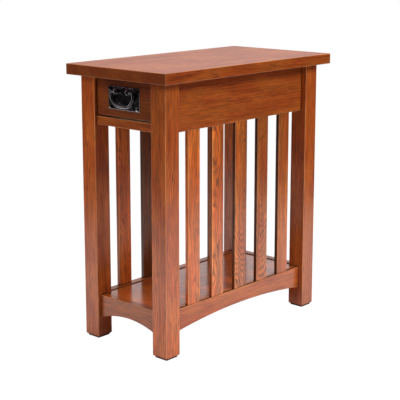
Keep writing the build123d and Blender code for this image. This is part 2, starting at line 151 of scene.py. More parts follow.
def makeOakGroup(size, patterns):
    tree, given = emptyGroup("oakFigure", "ShaderNodeTree", {
        "Board": "Vector", "Seed": 0.0, "Pith X": 0.0, "Pith Y": 0.05, "Lean X": 0.0, "Lean Y": 0.0,
        "Wander": 0.004, "Ripple": 0.004}, dict.fromkeys(("Ring", *patterns), "Float"))
    board = addNode(tree, "ShaderNodeSeparateXYZ", {0: (given, "Board")})
    shift = addNode(tree, "ShaderNodeMath", {0: (given, "Seed"), 1: size["seedStep"]}, operation="MULTIPLY")
    offset = addNode(tree, "ShaderNodeCombineXYZ", {0: shift, 1: shift, 2: shift})

    def stretched(width, length, detail, roughness, distortion=0.0):
        # Noise drawn out along the grain, one blob about width across and length long
        perBlob = (1 / width, 1 / width, 1 / length)
        scaled = addNode(tree, "ShaderNodeVectorMath", {0: (given, "Board"), 1: perBlob},
                         operation="MULTIPLY")
        moved = addNode(tree, "ShaderNodeVectorMath", {0: scaled, 1: offset}, operation="ADD")
        return addNode(tree, "ShaderNodeTexNoise", {"Vector": moved, "Scale": 1.0, "Detail": detail,
                                                    "Roughness": roughness, "Distortion": distortion})

    def centred(noise, output, reach):
        # Noise moved to swing about zero, as far either way as the input that reach names
        middle = addNode(tree, "ShaderNodeMath", {0: (noise, output), 1: 0.5}, operation="SUBTRACT")
        swing = addNode(tree, "ShaderNodeMath", {0: (given, reach), 1: size["noiseGain"]},
                        operation="MULTIPLY")
        return addNode(tree, "ShaderNodeMath", {0: middle, 1: swing}, operation="MULTIPLY")

    # The trunk's axis wanders along the board, and its rings ripple
    along = addNode(tree, "ShaderNodeMath", {0: (board, 2), 1: size["wanderLength"]}, operation="DIVIDE")
    alongSeed = addNode(tree, "ShaderNodeMath", {0: along, 1: shift}, operation="ADD")
    wander = addNode(tree, "ShaderNodeTexNoise", {"W": alongSeed, "Scale": 1.0, "Detail": 1.0},
                     noise_dimensions="1D")
    wanderXY = addNode(tree, "ShaderNodeSeparateColor", {0: (wander, "Color")})
    squares = []
    for axis, side in enumerate("XY"):
        leaned = addNode(tree, "ShaderNodeMath", {0: (board, 2), 1: (given, "Lean " + side),
                                                  2: (given, "Pith " + side)}, operation="MULTIPLY_ADD")
        placed = addNode(tree, "ShaderNodeMath", {0: (board, axis), 1: leaned}, operation="ADD")
        wandered = centred(wanderXY, axis, "Wander")
        total = addNode(tree, "ShaderNodeMath", {0: placed, 1: wandered}, operation="ADD")
        squares.append(addNode(tree, "ShaderNodeMath", {0: total, 1: total}, operation="MULTIPLY"))
    squared = addNode(tree, "ShaderNodeMath", {0: squares[0], 1: squares[1]}, operation="ADD")
    radius = addNode(tree, "ShaderNodeMath", {0: squared}, operation="SQRT")
    rippled = centred(stretched(*size["ripple"]), 0, "Ripple")
    uneven = addNode(tree, "ShaderNodeMath", {0: radius, 1: rippled}, operation="ADD")
    rings = addNode(tree, "ShaderNodeMath", {0: uneven, 1: size["ringSpacing"]}, operation="DIVIDE")
    phase = addNode(tree, "ShaderNodeMath", {0: rings}, operation="FRACT")
    # Each ring starts with a sharp dark line of open pores that fades into dense late wood
    profile = addNode(tree, "ShaderNodeValToRGB", {0: phase})
    ramp = profile.color_ramp
    for end in ramp.elements:
        end.color = (0.0, 0.0, 0.0, 1)
    for place, level in size["ringProfile"]:
        ramp.elements.new(place).color = (level, level, level, 1)
    # No two years grow alike, so each ring gets its own strength
    year = addNode(tree, "ShaderNodeMath", {0: rings}, operation="FLOOR")
    yearSeed = addNode(tree, "ShaderNodeMath", {0: year, 1: shift}, operation="ADD")
    yearNoise = addNode(tree, "ShaderNodeTexWhiteNoise", {"W": yearSeed}, noise_dimensions="1D")
    strength = addNode(tree, "ShaderNodeMapRange", {"Value": yearNoise, "To Min": size["faintestRing"]})
    ring = addNode(tree, "ShaderNodeMath", {0: profile, 1: strength}, operation="MULTIPLY")
    figures = {"Ring": ring}
    for name, (*noise, start, full, fade) in patterns.items():
        figures[name] = addNode(tree, "ShaderNodeMapRange", {
            "Value": stretched(*noise), "From Min": start, "From Max": full}, interpolation_type=fade)
    addNode(tree, "NodeGroupOutput", figures)
    return tree


oakGroup = makeOakGroup(oakFigure, oakPatterns)

oakStain = {
    "ground": "#BE571F",
    "red": "#98400F",
    "late": "#CF7229",
    # the dark of the pores, which the painted shade in corners, on sawn edges and along the rails also mixes
    # towards
    "pore": "#351205",
    "flame": "#7A2F0E",
    "rubbed": "#DA9860",        # arrises where the stain was wiped thin, with a painted highlight along them
    "poreDepth": 0.62,
    "strayPores": 0.3,          # the share of pores outside the early wood
    "lateShare": 0.4,
    "boardFlame": 0.12,
    "fibreSwing": 0.24,
    "endDarker": 0.45,
    "soakTurn": (0.6, 0.9),     # how squarely a face meets an axis as it starts to darken, and is darkest
    "rubbedWidth": 1.7 * mm,
    "rubbedShare": 0.9,
    "rubbedGaps": 0.35,         # how much the streaks break up the light arrises
    "cornerReach": 6 * mm,      # darkening by how closed in a corner is: stain and wax left there, and painted shade
    "cornerShare": 0.85,
    "cornerOpen": (0.35, 0.9),  # how open a corner is where the stain and painted shade are thickest, and where they end
    "cornerSamples": 8,
    "bareBelow": (-0.5, -0.15), # undersides are left bare of lacquer
    "roughness": (0.28, 0.42),
    "bareRoughness": 0.75,
    "lacquerIOR": 1.5,
    "bumpDepth": 0.12 * mm,
    "bumpStrength": 0.5,
}

satinCoat = (0.5, 0.22)         # weight and roughness of the lacquer
glossCoat = (1.0, 0.15)


# Lighter arrises: stain wiped thin there, and a painted highlight along the eased edges
def rubbedHighlitArris(tree, board, half, wood, stain):
    # The middle one of the three distances to the board's faces is the distance to its nearest arris
    size = addNode(tree, "ShaderNodeVectorMath", {0: board}, operation="ABSOLUTE")
    inside = addNode(tree, "ShaderNodeVectorMath", {0: half, 1: size}, operation="SUBTRACT")
    depth = addNode(tree, "ShaderNodeSeparateXYZ", {0: inside})
    less = addNode(tree, "ShaderNodeMath", {0: (depth, 0), 1: (depth, 1)}, operation="MINIMUM")
    more = addNode(tree, "ShaderNodeMath", {0: (depth, 0), 1: (depth, 1)}, operation="MAXIMUM")
    third = addNode(tree, "ShaderNodeMath", {0: more, 1: (depth, 2)}, operation="MINIMUM")
    arris = addNode(tree, "ShaderNodeMath", {0: less, 1: third}, operation="MAXIMUM")
    near = addNode(tree, "ShaderNodeMapRange", {
        "Value": arris, "From Max": stain["rubbedWidth"], "To Min": stain["rubbedShare"], "To Max": 0.0},
        interpolation_type="SMOOTHSTEP")
    gaps = addNode(tree, "ShaderNodeMath", {0: (wood, "Streak"), 1: -stain["rubbedGaps"], 2: 1.0},
                   operation="MULTIPLY_ADD")
    return addNode(tree, "ShaderNodeMath", {0: near, 1: gaps}, operation="MULTIPLY")


def railShadeAndSeam(tree, coordinates, normal, shadeAndSeams):
    # On the lower rails, a dark band painted on the right one's top as the shade where the slats stand in
    # their groove, and a dark joint round the shelf
    place = addNode(tree, "ShaderNodeSeparateXYZ", {0: (coordinates, "Object")})
    inGroove = addNode(tree, "ShaderNodeMath", {0: (place, 0), 1: shadeAndSeams["grooveX"],
                                                2: shadeAndSeams["grooveWidth"] / 2}, operation="COMPARE")
    upward = addNode(tree, "ShaderNodeMath", {0: (normal, 2), 1: shadeAndSeams["topFace"]},
                     operation="GREATER_THAN")
    grooveShade = addNode(tree, "ShaderNodeMath", {0: inGroove, 1: upward}, operation="MULTIPLY")
    inside = []
    for axis in (0, 1):
        away = addNode(tree, "ShaderNodeMath", {0: (place, axis)}, operation="ABSOLUTE")
        inside.append(addNode(tree, "ShaderNodeMath", {0: away, 1: shadeAndSeams["joint"][axis]},
                              operation="LESS_THAN"))
    joint = addNode(tree, "ShaderNodeMath", {0: inside[0], 1: inside[1]}, operation="MULTIPLY")
    return addNode(tree, "ShaderNodeMath", {0: grooveShade, 1: joint}, operation="MAXIMUM")


def finishOak(tree, board, half, figure, contrast, tone, flame, coat, stain, soaksAndShades, shadeAndSeams=None):
    # board is the output whose Z runs along the grain; figure, contrast, tone and flame hold values or
    # outputs. Some faces, picked by the axis they face along, are darker and drink more lacquer: end grain,
    # which drinks more stain, and other faces painted darker, such as the slats' sawn edges and one leg's
    # sides, as shade.
    wood = addNode(tree, "ShaderNodeGroup", dict(figure, Board=board), node_tree=oakGroup)
    # Pores crowd into the early wood of each ring
    crowd = addNode(tree, "ShaderNodeMath", {0: (wood, "Ring"), 1: 1 - stain["strayPores"],
                                             2: stain["strayPores"]}, operation="MULTIPLY_ADD")
    pored = addNode(tree, "ShaderNodeMath", {0: (wood, "Pore"), 1: crowd}, operation="MULTIPLY")
    poreDark = addNode(tree, "ShaderNodeMath", {0: pored, 1: stain["poreDepth"]}, operation="MULTIPLY")
    ringDark = addNode(tree, "ShaderNodeMath", {0: (wood, "Ring"), 1: contrast}, operation="MULTIPLY")
    darker = addNode(tree, "ShaderNodeMath", {0: poreDark, 1: ringDark}, operation="ADD", use_clamp=True)
    late = addNode(tree, "ShaderNodeMath", {0: (wood, "Cloud"), 1: stain["lateShare"]},
                   operation="MULTIPLY")
    flamed = addNode(tree, "ShaderNodeMath", {0: (wood, "Flame"), 1: flame}, operation="MULTIPLY")
    rubbed = rubbedHighlitArris(tree, board, half, wood, stain)
    colour = hexColour(stain["ground"])
    for name, share in (("red", (wood, "Streak")), ("late", late), ("flame", flamed), ("pore", darker),
                        ("rubbed", rubbed)):
        mixed = addNode(tree, "ShaderNodeMix", {0: share, 6: colour, 7: hexColour(stain[name])},
                        data_type="RGBA")
        colour = (mixed, 2)
    silky = addNode(tree, "ShaderNodeMapRange", {
        "Value": (wood, "Fibre"), "To Min": 1 - stain["fibreSwing"], "To Max": 1 + stain["fibreSwing"]})
    level = addNode(tree, "ShaderNodeMath", {0: silky, 1: tone}, operation="MULTIPLY")
    colour = addNode(tree, "ShaderNodeHueSaturation", {"Value": level, "Color": colour})
    # Where there is lacquer, and how much of it is left on top of the wood
    coordinates = addNode(tree, "ShaderNodeTexCoord")
    normal = addNode(tree, "ShaderNodeSeparateXYZ", {0: (coordinates, "Normal")})
    finished = addNode(tree, "ShaderNodeMapRange", {
        "Value": (normal, 2), "From Min": stain["bareBelow"][0], "From Max": stain["bareBelow"][1]})
    coated = addNode(tree, "ShaderNodeMath", {0: finished, 1: coat[0]}, operation="MULTIPLY")
    darkShares = []
    for axis, share in soaksAndShades:
        facing = addNode(tree, "ShaderNodeMath", {0: (normal, axis)}, operation="ABSOLUTE")
        soakAndShade = addNode(tree, "ShaderNodeMapRange", {
            "Value": facing, "From Min": stain["soakTurn"][0], "From Max": stain["soakTurn"][1],
            "To Max": share})
        left = addNode(tree, "ShaderNodeMath", {0: 1.0, 1: soakAndShade}, operation="SUBTRACT")
        coated = addNode(tree, "ShaderNodeMath", {0: coated, 1: left}, operation="MULTIPLY")
        darkShares.append(soakAndShade)
    # Dark lines in the corners, where the rag doesn't reach, and painted shade there by how closed in each
    # corner is
    corner = addNode(tree, "ShaderNodeAmbientOcclusion", {"Distance": stain["cornerReach"]},
                     samples=stain["cornerSamples"])
    darkShares.append(addNode(tree, "ShaderNodeMapRange", {
        "Value": (corner, "AO"), "From Min": stain["cornerOpen"][0], "From Max": stain["cornerOpen"][1],
        "To Min": stain["cornerShare"], "To Max": 0.0}))
    # A dark band painted on the rails as the shade in the slats' groove, and a dark joint round the shelf;
    # both are bare of lacquer
    if shadeAndSeams:
        grooveShadeAndSeam = railShadeAndSeam(tree, coordinates, normal, shadeAndSeams)
        darkShares.append(addNode(tree, "ShaderNodeMath", {0: grooveShadeAndSeam, 1: shadeAndSeams["share"]},
                                  operation="MULTIPLY"))
        rest = addNode(tree, "ShaderNodeMath", {0: 1.0, 1: grooveShadeAndSeam}, operation="SUBTRACT")
        finished = addNode(tree, "ShaderNodeMath", {0: finished, 1: rest}, operation="MULTIPLY")
        coated = addNode(tree, "ShaderNodeMath", {0: coated, 1: rest}, operation="MULTIPLY")
    for share in darkShares:
        mixed = addNode(tree, "ShaderNodeMix", {0: share, 6: colour, 7: hexColour(stain["pore"])},
                        data_type="RGBA")
        colour = (mixed, 2)
    satin = addNode(tree, "ShaderNodeMapRange", {
        "Value": darker, "To Min": stain["roughness"][0], "To Max": stain["roughness"][1]})
    roughness = addNode(tree, "ShaderNodeMix", {0: finished, 2: stain["bareRoughness"], 3: satin},
                        data_type="FLOAT")
    bump = addNode(tree, "ShaderNodeBump", {
        "Height": darker, "Distance": stain["bumpDepth"], "Strength": stain["bumpStrength"]}, invert=True)
    shader = addNode(tree, "ShaderNodeBsdfPrincipled", {
        "Base Color": colour, "Roughness": roughness, "Normal": bump, "IOR": stain["lacquerIOR"],
        "Coat Weight": coated, "Coat Roughness": coat[1]})
    addNode(tree, "ShaderNodeOutputMaterial", {"Surface": shader})


# Turns that bring a board's length on to the figure's own Z, and the order that puts its sizes in
grainTurns = {
    "x": ((0, math.pi / 2, 0), (2, 1, 0)),
    "y": ((-math.pi / 2, 0, 0), (0, 2, 1)),
    "z": ((0, 0, 0), (0, 1, 2)),
}


def boardSpace(tree, name, along):
    # A board's own coordinates, centred on it with its length on Z, and its half sizes there
    low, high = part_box(name)
    turn, order = grainTurns[along]
    reach = (high - low) / 2
    coordinates = addNode(tree, "ShaderNodeTexCoord")
    mapped = addNode(tree, "ShaderNodeMapping", {
        "Vector": (coordinates, "Object"), "Location": (low + high) / 2, "Rotation": turn},
        vector_type="TEXTURE")
    return mapped, tuple(reach[i] for i in order)


def boardOak(name, along, seed, pith, lean, contrast, tone, stain, coat, soaksAndShades, shadeAndSeams):
    material, tree = emptyMaterial("stainedOak_" + name)
    board, half = boardSpace(tree, name, along)
    figure = {"Seed": seed, "Pith X": pith[0], "Pith Y": pith[1], "Lean X": lean[0], "Lean Y": lean[1]}
    if isinstance(tone, tuple):
        lengthwise = addNode(tree, "ShaderNodeSeparateXYZ", {0: board})
        tone = addNode(tree, "ShaderNodeMapRange", {
            "Value": (lengthwise, 2), "From Min": -half[2], "From Max": half[2], "To Min": tone[0],
            "To Max": tone[1]})
    ends = ("xyz".index(along), stain["endDarker"])
    finishOak(tree, board, half, figure, contrast, tone, stain["boardFlame"], coat, stain, (ends, *soaksAndShades),
              shadeAndSeams)
    return material


# Each board's grain and seed; where its pith lay, in metres across the board's middle on the figure's X and
# Y, and how it leans; how dark its rings are; and its tone, or the tones at its low and high end, which on
# three legs paint shade: darker under the top, and on the front-left leg at its foot.
# A pith far off across the face gives straight rift lines, and one behind the face gives broad flat-sawn
# figure.
boards = {
    "table_top": ("y", 1.6, (0.19, 0.1), (0.01, 0.0), 0.22, 0.89),
    "shelf": ("y", 2.0, (-0.17, 0.09), (0.02, 0.0), 0.3, 1.23),
    "apron_left": ("y", 3.0, (0.05, 0.13), (0.0, 0.02), 0.22, 0.79),
    "apron_right": ("y", 4.0, (-0.06, 0.15), (0.0, 0.02), 0.22, (0.81, 0.75)),
    "apron_back": ("x", 5.0, (0.13, 0.06), (0.0, 0.0), 0.24, 0.82),
    "drawer_front": ("x", 6.0, (0.12, 0.1), (0.0, 0.0), 0.3, (0.58, 0.44)),
    "drawer_rail": ("x", 7.0, (0.1, 0.06), (0.0, 0.0), 0.3, 0.86),
    "lower_rail_left": ("y", 8.0, (0.05, 0.12), (0.0, 0.0), 0.24, 0.88),
    "lower_rail_right": ("y", 9.0, (-0.05, 0.13), (0.0, 0.0), 0.2, 1.06),
    "lower_rail_front": ("x", 10.0, (0.12, 0.06), (0.0, 0.0), 0.3, 0.76),
    "lower_rail_back": ("x", 11.0, (0.1, 0.06), (0.0, 0.0), 0.24, 0.86),
    "leg_front_left": ("z", 12.0, (0.1, 0.09), (0.01, 0.0), 0.42, (1.12, 1.3)),
    "leg_front_right": ("z", 13.0, (-0.1, 0.11), (0.01, 0.0), 0.46, (1.36, 0.9)),
    "leg_back_left": ("z", 14.0, (0.1, -0.09), (0.0, 0.0), 0.3, (0.86, 0.74)),
    "leg_back_right": ("z", 15.0, (-0.1, -0.12), (0.0, 0.0), 0.36, 1.0),
}
boardCoats = {"shelf": glossCoat}
# The top's long edge faces are darker, and the front-left leg's side faces are painted darker as shade
extraDarkFaces = {"table_top": ((0, 0.24),), "leg_front_left": ((0, 0.24),)}
jointWidth = 0.5 * mm
grooveWidth = 6 * mm            # the groove's painted shade, drawn wide, so that it shows edge on
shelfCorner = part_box("shelf")[1]
railShadeAndSeams = {
    "grooveX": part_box("slat_right_1")[1].x - grooveWidth / 2,
    "grooveWidth": grooveWidth,
    "topFace": 0.6,             # the groove's painted shade shows on faces turned up by more than this
    "joint": (shelfCorner.x + jointWidth, shelfCorner.y + jointWidth),
    "share": 0.88,
}
for name, settings in boards.items():
    shadeAndSeams = railShadeAndSeams if name.startswith("lower_rail") else None
    paint(name, boardOak(name, *settings, oakStain, boardCoats.get(name, satinCoat),
                         extraDarkFaces.get(name, ()), shadeAndSeams))
print("oak boards:", len(boards))

# Slats: flat-sawn red oak, whose broad figure the stain brings out
slatSizes = {
    "width": 37.6 * mm,
    "thickness": 9 * mm,
    "pitch": 77 * mm,
    "count": 5,
    "ease": 1.2 * mm,
    "easeSteps": 3,
}

# Figure of each slat, front to back: seed, pith across, pith depth, lean, wander, ripple; ring contrast, then
# tone, at the foot and at the head, where the right row's lower head tones paint the shade under the apron
# and top; flame, how much the sawn edges are painted darker as shade, and how much darker the slat's back
# edge is than its front edge
slatFigures = {
    "right": (
        (41.0, -0.010, 0.026, 0.020, 0.005, 0.003, 0.45, 0.50, 1.76, 1.48, 0.60, 0.00, 0.21),
        (42.0, 0.014, 0.022, 0.015, 0.006, 0.003, 0.60, 0.75, 1.76, 1.54, 0.75, 0.60, 0.42),
        (43.0, -0.009, 0.006, -0.220, 0.003, 0.003, 0.85, 0.25, 1.40, 1.08, 0.60, 0.80, 0.42),
        (44.0, 0.001, 0.004, -0.260, 0.003, 0.004, 0.95, 0.30, 1.30, 0.72, 0.45, 0.85, 0.00),
        (45.0, 0.050, 0.030, 0.030, 0.004, 0.002, 0.55, 0.55, 1.56, 0.86, 0.45, 0.85, -0.35),
    ),
    "left": (
        (51.0, 0.020, 0.018, 0.080, 0.006, 0.003, 0.45, 0.45, 1.56, 1.50, 0.50, 0.30, 0.00),
        (52.0, -0.006, 0.014, 0.100, 0.005, 0.003, 0.50, 0.50, 0.42, 0.42, 0.50, 0.60, 0.00),
        (53.0, 0.010, 0.015, 0.080, 0.006, 0.003, 0.50, 0.50, 0.80, 0.80, 0.40, 0.60, 0.00),
        (54.0, -0.014, 0.013, 0.120, 0.005, 0.003, 0.60, 0.40, 1.00, 0.90, 0.40, 0.60, 0.00),
        (55.0, 0.030, 0.022, 0.050, 0.006, 0.003, 0.50, 0.50, 1.05, 0.95, 0.40, 0.60, 0.00),
    ),
}
# The slats are from lighter, yellower stock
slatStain = dict(oakStain, ground="#BE5A20", red="#9E4614", late="#D07A2E", flame="#85431C")


def slatOak(size, length):
    # Reads each slat's own place and figure from the mesh, so ten slats share one material
    material, tree = emptyMaterial("stainedFlatSawnOak")
    place = addNode(tree, "ShaderNodeAttribute", attribute_name="board")
    readings = []
    for name in ("pith", "growth", "shade", "edgeShadeAndTone"):
        attribute = addNode(tree, "ShaderNodeAttribute", attribute_name=name)
        readings.append(addNode(tree, "ShaderNodeSeparateXYZ", {0: (attribute, "Vector")}))
    pith, growth, shade, edgeShadeAndTone = readings
    figure = {"Seed": (growth, 0), "Wander": (growth, 1), "Ripple": (growth, 2), "Pith X": (pith, 0),
              "Pith Y": (pith, 1), "Lean Y": (pith, 2)}
    across = addNode(tree, "ShaderNodeSeparateXYZ", {0: (place, "Vector")})
    shift = addNode(tree, "ShaderNodeMath", {0: (across, 0), 1: (edgeShadeAndTone, 1)}, operation="MULTIPLY")
    side = addNode(tree, "ShaderNodeMath", {0: shift, 1: -1 / size["width"], 2: 1.0},
                   operation="MULTIPLY_ADD")
    tone = addNode(tree, "ShaderNodeMath", {0: (shade, 1), 1: side}, operation="MULTIPLY")
    half = (size["width"] / 2, size["thickness"] / 2, length)
    # The last argument paints each slat's sawn edges darker as shade, by the slat's own share
    finishOak(tree, (place, "Vector"), half, figure, (shade, 0), tone, (shade, 2), satinCoat, slatStain,
              ((1, (edgeShadeAndTone, 0)),))
    return material


def makeSlatTree(size):
    tree, given = emptyGroup("railSlats", "GeometryNodeTree", {
        "Width": 0.04, "Thickness": 0.01, "Length": 0.4, "Pitch": 0.08, "Ease": 0.001, "Row X": 0.1,
        "Middle Z": 0.3, "Count": "Int", "Oak": "Material"}, {"Geometry": "Geometry"})
    # One slat: an eased section swept up a straight line
    section = addNode(tree, "GeometryNodeCurvePrimitiveQuadrilateral", {
        "Width": (given, "Thickness"), "Height": (given, "Width")})
    eased = addNode(tree, "GeometryNodeFilletCurve", {
        "Curve": section, "Radius": (given, "Ease"), "Count": size["easeSteps"]}, mode="POLY")
    ends = []
    for share in (-0.5, 0.5):
        height = addNode(tree, "ShaderNodeMath", {0: (given, "Length"), 1: share}, operation="MULTIPLY")
        ends.append(addNode(tree, "ShaderNodeCombineXYZ", {2: height}))
    line = addNode(tree, "GeometryNodeCurvePrimitiveLine", {"Start": ends[0], "End": ends[1]})
    swept = addNode(tree, "GeometryNodeCurveToMesh", {"Curve": line, "Profile Curve": eased,
                                                      "Fill Caps": True})
    # Across the face, through it and along the grain, for the material
    position = addNode(tree, "GeometryNodeInputPosition")
    split = addNode(tree, "ShaderNodeSeparateXYZ", {0: position})
    ordered = addNode(tree, "ShaderNodeCombineXYZ", {0: (split, 1), 1: (split, 0), 2: (split, 2)})
    stored = addNode(tree, "GeometryNodeStoreNamedAttribute", {
        "Geometry": swept, "Name": "board", "Value": ordered}, data_type="FLOAT_VECTOR", domain="POINT")
    # A row of slats on each side, centred front to back
    gaps = addNode(tree, "ShaderNodeMath", {0: (given, "Count"), 1: 1.0}, operation="SUBTRACT")
    rowLength = addNode(tree, "ShaderNodeMath", {0: gaps, 1: (given, "Pitch")}, operation="MULTIPLY")
    startY = addNode(tree, "ShaderNodeMath", {0: rowLength, 1: -0.5}, operation="MULTIPLY")
    start = addNode(tree, "ShaderNodeCombineXYZ", {1: startY, 2: (given, "Middle Z")})
    step = addNode(tree, "ShaderNodeCombineXYZ", {1: (given, "Pitch")})
    row = addNode(tree, "GeometryNodeMeshLine", {
        "Count": (given, "Count"), "Start Location": start, "Offset": step}, mode="OFFSET")
    otherX = addNode(tree, "ShaderNodeMath", {0: (given, "Row X"), 1: -1.0}, operation="MULTIPLY")
    joined = addNode(tree, "GeometryNodeJoinGeometry")
    for x in ((given, "Row X"), otherX):
        side = addNode(tree, "ShaderNodeCombineXYZ", {0: x})
        moved = addNode(tree, "GeometryNodeTransform", {"Geometry": row, "Translation": side})
        tree.links.new(moved.outputs[0], joined.inputs[0])
    placed = addNode(tree, "GeometryNodeInstanceOnPoints", {"Points": joined, "Instance": stored})
    endTree(tree, placed, (given, "Oak"))
    return tree


def makeSlats(size, figures):
    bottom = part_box("lower_rail_right")[1].z
    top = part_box("apron_right")[0].z
    middle = (top + bottom) / 2
    low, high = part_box("slat_right_1")
    slats = runTree(makeSlatTree(size), "railSlats", {
        "Width": size["width"], "Thickness": size["thickness"], "Length": top - bottom,
        "Pitch": size["pitch"], "Ease": size["ease"], "Count": size["count"],
        "Row X": (low.x + high.x) / 2, "Middle Z": middle, "Oak": slatOak(size, top - bottom)})
    mesh = slats.data
    values = {"pith": [], "growth": [], "shade": [], "edgeShadeAndTone": []}
    for vertex in mesh.vertices:
        side = "right" if vertex.co.x > 0 else "left"
        number = round(vertex.co.y / size["pitch"]) + size["count"] // 2
        seed, across, deep, lean, wander, ripple, *changing, flame, edgeShadeAndTone, uneven = figures[side][number]
        atHead = vertex.co.z > middle
        contrast, tone = changing[atHead], changing[2 + atHead]
        values["pith"] += (across, deep, lean)
        values["growth"] += (seed, wander, ripple)
        values["shade"] += (contrast, tone, flame)
        values["edgeShadeAndTone"] += (edgeShadeAndTone, uneven, 0.0)
    for name, numbers in values.items():
        mesh.attributes.new(name, "FLOAT_VECTOR", "POINT").data.foreach_set("vector", numbers)
    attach(slats, "carcase")
    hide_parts(*[name for name in nodes if name.startswith("slat_")])
    print("slats:", len(mesh.polygons), "faces")


makeSlats(slatSizes, slatFigures)

# Drawer box and runners: planed poplar under a clear sealer, pale and dull with faint long streaks
poplarGrain = {
    "pale": "#CFB285",
    "dark": "#AE8C5C",
    "streakWidth": 5 * mm,
    "streakLength": 90 * mm,
    "streakDetail": 4.0,
    "streakRoughness": 0.6,
    "streaks": (0.35, 0.7),     # the noise where the darker streaks start and are full
    "roughness": 0.5,
    "sealerIOR": 1.5,
    "bumpDepth": 0.1 * mm,
}
poplarBoards = {
    "x": ("drawer_back", "drawer_stop"),
    "y": ("drawer_side", "drawer_bottom", "drawer_runner", "drawer_guide", "drawer_kicker", "shelf_cleat"),
}


def sealedPoplar(name, along, grain):
    material, tree = emptyMaterial("sealedPoplar_" + name)
    board = boardSpace(tree, name, along)[0]
    perStreak = (1 / grain["streakWidth"], 1 / grain["streakWidth"], 1 / grain["streakLength"])
    scaled = addNode(tree, "ShaderNodeVectorMath", {0: board, 1: perStreak}, operation="MULTIPLY")
    streaks = addNode(tree, "ShaderNodeTexNoise", {
        "Vector": scaled, "Scale": 1.0, "Detail": grain["streakDetail"],
        "Roughness": grain["streakRoughness"]})
    share = addNode(tree, "ShaderNodeMapRange", {
        "Value": streaks, "From Min": grain["streaks"][0], "From Max": grain["streaks"][1]})
    colour = addNode(tree, "ShaderNodeMix", {0: share, 6: hexColour(grain["pale"]),
                                             7: hexColour(grain["dark"])}, data_type="RGBA")
    bump = addNode(tree, "ShaderNodeBump", {"Height": streaks, "Distance": grain["bumpDepth"]})
    shader = addNode(tree, "ShaderNodeBsdfPrincipled", {
        "Base Color": (colour, 2), "Normal": bump, "Roughness": grain["roughness"],
        "IOR": grain["sealerIOR"]})
    addNode(tree, "ShaderNodeOutputMaterial", {"Surface": shader})
    return material


for name in nodes:
    for along, starts in poplarBoards.items():
        if name.startswith(starts):
            paint(name, sealedPoplar(name, along, poplarGrain))

# Forged iron, hammered, blackened and waxed: near black where it mirrors the dark, with bright lines painted
# on its bends and rims as highlights, and its hammered ridges rubbed bright
ironFinish = {
    "black": "#423E42",
    "wornAndHighlit": "#B4AEB2",
    "soot": 0.55,
    "sootPatches": (0.35, 0.7), # the noise where soot starts and is full
    "roughness": (0.2, 0.36),
    "roughPatches": (0.3, 0.7),
    "scaleSize": 1.1 * mm,
    "scaleDetail": 3.0,
    "scaleDepth": 0.03 * mm,
}
highlitFinish = dict(ironFinish, black="#262326", wornAndHighlit="#D2CCD0", soot=0.8, roughness=(0.14, 0.24))

# A round bar's outline is painted bright as a highlight, more the further its surface turns from the camera,
# and less so up to its top
outlineHighlight = {
    "turn": (0.25, 0.6),        # how far the metal turns away where the outline starts and is full
    "share": (0.04, 1.0),       # of the bright highlight colour, there
    "fadeHeight": 7 * mm,
    "topShare": 0.1,
}


def outlineShare(tree, coordinates, fadeTop, outline):
    turned = addNode(tree, "ShaderNodeLayerWeight", {"Blend": 0.5})
    rubbed = addNode(tree, "ShaderNodeMapRange", {
        "Value": (turned, "Facing"), "From Min": outline["turn"][0], "From Max": outline["turn"][1],
        "To Min": outline["share"][0], "To Max": outline["share"][1]})
    at = addNode(tree, "ShaderNodeSeparateXYZ", {0: (coordinates, "Object")})
    lower = addNode(tree, "ShaderNodeMapRange", {
        "Value": (at, 2), "From Min": fadeTop - outline["fadeHeight"], "From Max": fadeTop,
        "To Min": 1.0, "To Max": outline["topShare"]})
    return addNode(tree, "ShaderNodeMath", {0: rubbed, 1: lower}, operation="MULTIPLY")


def blackenedIron(name, finish, fadeTop=None):
    # With a fade height, a round bar's outline is painted bright as a highlight that has faded by that
    # height; without it, an attribute on the mesh holds the share of bright metal, for wear and painted
    # highlight
    material, tree = emptyMaterial(name)
    coordinates = addNode(tree, "ShaderNodeTexCoord")
    scale = addNode(tree, "ShaderNodeTexNoise", {
        "Vector": (coordinates, "Object"), "Scale": 1 / finish["scaleSize"],
        "Detail": finish["scaleDetail"]})
    if fadeTop:
        share = outlineShare(tree, coordinates, fadeTop, outlineHighlight)
    else:
        share = (addNode(tree, "ShaderNodeAttribute", attribute_name="wornAndHighlit"), "Fac")
    bare = addNode(tree, "ShaderNodeMix", {0: share, 6: hexColour(finish["black"]),
                                           7: hexColour(finish["wornAndHighlit"])}, data_type="RGBA")
    sooted = addNode(tree, "ShaderNodeMapRange", {
        "Value": scale, "From Min": finish["sootPatches"][0], "From Max": finish["sootPatches"][1],
        "To Min": 1.0, "To Max": finish["soot"]})
    colour = addNode(tree, "ShaderNodeHueSaturation", {"Value": sooted, "Color": (bare, 2)})
    roughness = addNode(tree, "ShaderNodeMapRange", {
        "Value": scale, "From Min": finish["roughPatches"][0], "From Max": finish["roughPatches"][1],
        "To Min": finish["roughness"][0], "To Max": finish["roughness"][1]})
    bump = addNode(tree, "ShaderNodeBump", {"Height": scale, "Distance": finish["scaleDepth"]})
    shader = addNode(tree, "ShaderNodeBsdfPrincipled", {
        "Base Color": colour, "Roughness": roughness, "Normal": bump, "Metallic": 1.0})
    addNode(tree, "ShaderNodeOutputMaterial", {"Surface": shader})
    return material


# The bail and the tacks get a painted highlight along their outlines, fading out just under the bail's top
highlitIron = blackenedIron("highlitBlackIron", highlitFinish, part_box("bail")[1].z - 1 * mm)
paint("pull_tacks", highlitIron)
# The posts stand out from the plate; their outline is painted bright as a highlight, fading out towards the
# plate's top
highlitPostIron = blackenedIron("highlitPostBlackIron", highlitFinish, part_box("pull_plate")[1].z)
for name in ("pull_post_left", "pull_post_right"):
    paint(name, highlitPostIron)

